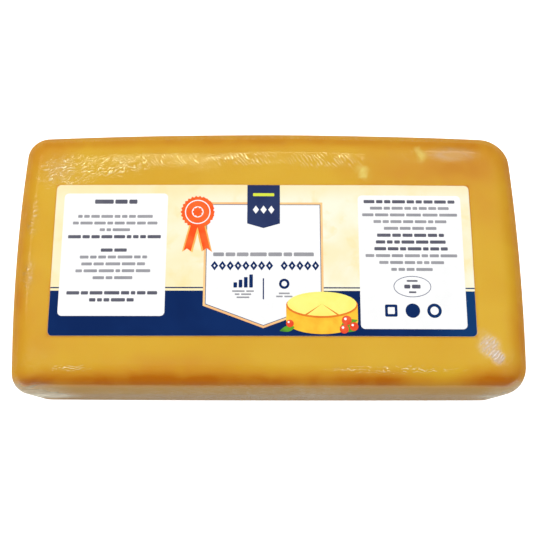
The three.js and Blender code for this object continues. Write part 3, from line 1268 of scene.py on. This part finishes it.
STROKE_FORMS = {
    # direction in degrees, metres from line to line, how far the lines wander
    "rising": (28, 0.0022, 24.0),
    "falling": (-50, 0.0017, 10.0),
    "along": (-3, 0.0019, 19.0),
    "fanned": (43, 0.0018, 9.0),
}
STROKE_WAVES = 250.0
STROKE_BREAKS = (270.0, 0.38, 0.60)
STROKE_CREST = (0.30, 0.95)
STROKE_HEIGHT = 0.00006
STROKE_COVER = 0.46
DIMPLE_SCALE = 240.0
DIMPLE_HEIGHT = 0.10


def stroke_lines(tree, place, wavy, angle, pitch, wander):
    """Fine wavy lines along one direction, from 0 between them to 1 on them."""
    turn = math.radians(angle)
    across = vector_node(tree, "DOT_PRODUCT", place, (-math.sin(turn), math.cos(turn), math.cos(turn)))
    phase = plus(tree, times(tree, across, 2 * math.pi / pitch), times(tree, wavy, wander))
    return ramp(tree, math_node(tree, "SINE", phase), STROKE_CREST)


def build_film_material():
    material, tree, shader, place = new_material("clear film")
    cloudy, loose, wet = [attribute(tree, name) for name in ("cloudy", "loose", "wet")]
    height = times(tree, noise_tone(tree, place, DIMPLE_SCALE, 1.0), DIMPLE_HEIGHT)
    wavy = noise_tone(tree, place, STROKE_WAVES, 1.0)
    lines = 0.0
    for name, form in STROKE_FORMS.items():
        ridge = times(tree, stroke_lines(tree, place, wavy, *form), attribute(tree, name))
        height = plus(tree, height, ridge)
        lines = plus(tree, ridge, lines)
    lines = times(tree, lines, mottled(tree, place, *STROKE_BREAKS))
    bump = bumped(tree, height, 1.0, STROKE_HEIGHT)
    facing = add_node(tree, "ShaderNodeLayerWeight", Blend=0.5, Normal=bump).outputs["Facing"]
    grazing = math_node(tree, "POWER", facing, GRAZING_POWER)
    clinging = plus(tree, times(tree, grazing, MIRROR_GRAZING), MIRROR_SQUARE_ON)
    clinging = times(tree, clinging, math_node(tree, "SUBTRACT", 1.0, times(tree, wet, WET_DIMS)))
    standing = plus(tree, times(tree, grazing, LOOSE_GRAZING), LOOSE_SQUARE_ON)
    cover = plus(tree, clinging, times(tree, standing, loose))
    cover = plus(tree, cover, times(tree, cloudy, CLOUD_COVER))
    cover = plus(tree, cover, times(tree, lines, STROKE_COVER), clamp=True)
    tint = blend(tree, times(tree, cloudy, CLOUD_WHITENS), CLEAR, CLOUD_WHITE)
    fill(
        tree,
        shader,
        Base_Color=blend(tree, loose, tint, WARM_VEIL),
        Metallic=1.0,
        Roughness=plus(tree, times(tree, cloudy, CLOUD_ROUGH), FILM_ROUGH),
        Alpha=cover,
        Normal=bump,
    )
    return material


film.data.materials.append(build_film_material())
print("film finish with strokes", list(STROKE_FORMS))

# %% [markdown]
# All the inks lie on the same coated paper, so one function makes a finish from an ink's two tones.
# Mottling moves slowly between the tones, and the paper's grain gives each ink its fine tooth. The
# dark blue grows lighter towards the right end, so its finish takes a third tone there.

# %% Paper and inks
PAPER_SHINE = 0.05
PRINT_ROUGH = 0.5
TOOTH = 0.2
GRAIN_DEPTH = 0.00004
GRAIN_IN_INK = 0.5
DARKER = 0.78
INK_CLOUDS = (0.35, 0.65)
LIGHTER_RIGHT = (0.075, 0.112)


def finish_print(tree, shader, color, grain):
    """What all print has in common: a fine tooth and a faint sheen."""
    fill(
        tree,
        shader,
        Base_Color=color,
        Roughness=PRINT_ROUGH,
        Specular_IOR_Level=PAPER_SHINE,
        Normal=bumped(tree, grain["Height"], TOOTH, GRAIN_DEPTH),
    )


def build_ink(name, color, second, scale, right=None):
    """An ink that moves between two tones, and towards a third at the right end if one is given."""
    material, tree, shader, place = new_material(name)
    grain = use_group(tree, PAPER_GRAIN, Vector=place)
    mixed = blend(tree, mottled(tree, place, scale, *INK_CLOUDS), color, second)
    if right:
        along = add_node(tree, "ShaderNodeSeparateXYZ", Vector=place).outputs["X"]
        mixed = blend(tree, ramp(tree, along, LIGHTER_RIGHT), mixed, right)
    dark = [channel * DARKER for channel in color[:3]] + [1.0]
    mixed = blend(tree, times(tree, grain["Tone"], GRAIN_IN_INK), mixed, dark)
    finish_print(tree, shader, mixed, grain)
    return material


NAVY = (0.0018, 0.0180, 0.1000, 1)
NAVY_CLOUD = (0.0030, 0.0240, 0.1230, 1)
NAVY_RIGHT = (0.0040, 0.0420, 0.1560, 1)
NAVY_SCALE = 26.0
INKS = {
    # two tones as screen values, scale of the mottling between them
    "dusk blue ink": ((38, 50, 92), (44, 58, 100), 60.0),
    "white field": ((250, 250, 250), (248, 248, 248), 60.0),
    "peach ink": ((253, 214, 150), (246, 186, 128), 30.0),
    "slate ink": ((86, 92, 122), (110, 116, 140), 60.0),
    "grey ink": ((152, 152, 158), (162, 161, 166), 90.0),
    "dark grey ink": ((90, 90, 104), (102, 102, 114), 90.0),
    "lime ink": ((232, 232, 60), (214, 226, 72), 90.0),
    "vermilion ink": ((250, 84, 30), (255, 110, 50), 120.0),
    "gold ink": ((252, 196, 104), (250, 168, 84), 120.0),
    "butter ink": ((255, 246, 134), (255, 238, 112), 60.0),
    "honey ink": ((252, 204, 62), (246, 176, 48), 90.0),
    "rust ink": ((238, 138, 46), (228, 116, 40), 90.0),
    "berry ink": ((232, 70, 40), (244, 108, 66), 160.0),
    "leaf ink": ((96, 166, 44), (58, 120, 48), 160.0),
}
inks = {"navy ink": build_ink("navy ink", NAVY, NAVY_CLOUD, NAVY_SCALE, NAVY_RIGHT)}
for name, (first, second, scale) in INKS.items():
    inks[name] = build_ink(name, srgb(*first), srgb(*second), scale)
for piece, finish in printed:
    piece.data.materials.append(inks[finish])
print("inks", len(inks), "on", len(printed), "printed pieces")

# %% [markdown]
# The sheet itself is printed cream, in the manner of old parchment, so it has the strongest mottling.
# Warmer tones are laid over the cream one after another: towards the left end, in blots, and along
# the top edge. The paper's grain comes last.

# %% Parchment
CREAM = (247, 245, 222)
CREAM_CLOUD = (247, 236, 194)
CREAM_CLOUDS = (38.0, 0.38, 0.68)
LEFT_TONE = (247, 233, 184)
BLOT_TONE = (247, 226, 160)
TOP_TONE = (246, 226, 170)
GRAIN_TONE = (170, 152, 112)
LEFT_FADE = (0.02, -0.11)
BLOTS = (90.0, 0.50, 0.72)
TOP_FADE = 0.012
TONE_SHARE = 0.6
GRAIN_SHARE = 0.1


def build_parchment():
    material, tree, shader, place = new_material("parchment print")
    grain = use_group(tree, PAPER_GRAIN, Vector=place)
    axes = add_node(tree, "ShaderNodeSeparateXYZ", Vector=place).outputs
    top = (LABEL_CENTRE.y + LABEL_HALF[1]) * MM
    color = blend(tree, mottled(tree, place, *CREAM_CLOUDS), srgb(*CREAM), srgb(*CREAM_CLOUD))
    for where, share, tone in (
        (ramp(tree, axes["X"], LEFT_FADE), TONE_SHARE, LEFT_TONE),
        (mottled(tree, place, *BLOTS), TONE_SHARE, BLOT_TONE),
        (ramp(tree, axes["Y"], (top - TOP_FADE, top)), TONE_SHARE, TOP_TONE),
        (grain["Tone"], GRAIN_SHARE, GRAIN_TONE),
    ):
        color = blend(tree, times(tree, where, share), color, srgb(*tone))
    finish_print(tree, shader, color, grain)
    return material


sheet.data.materials.append(build_parchment())
print("sheet finish", sheet.data.materials[0].name)

# %% [markdown]
# Every piece rides on the block, which is one rigid body. The cheese and the film together stand for
# the solid pack, and the sheet with its print stands for the solid label.

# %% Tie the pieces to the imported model
for piece, slot_name in ((cheese, "cheese"), (film, "film")):
    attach(piece, "root")
    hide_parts("pack")
for piece in [sheet] + [piece for piece, finish in printed]:
    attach(piece, "root")
    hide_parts("label")
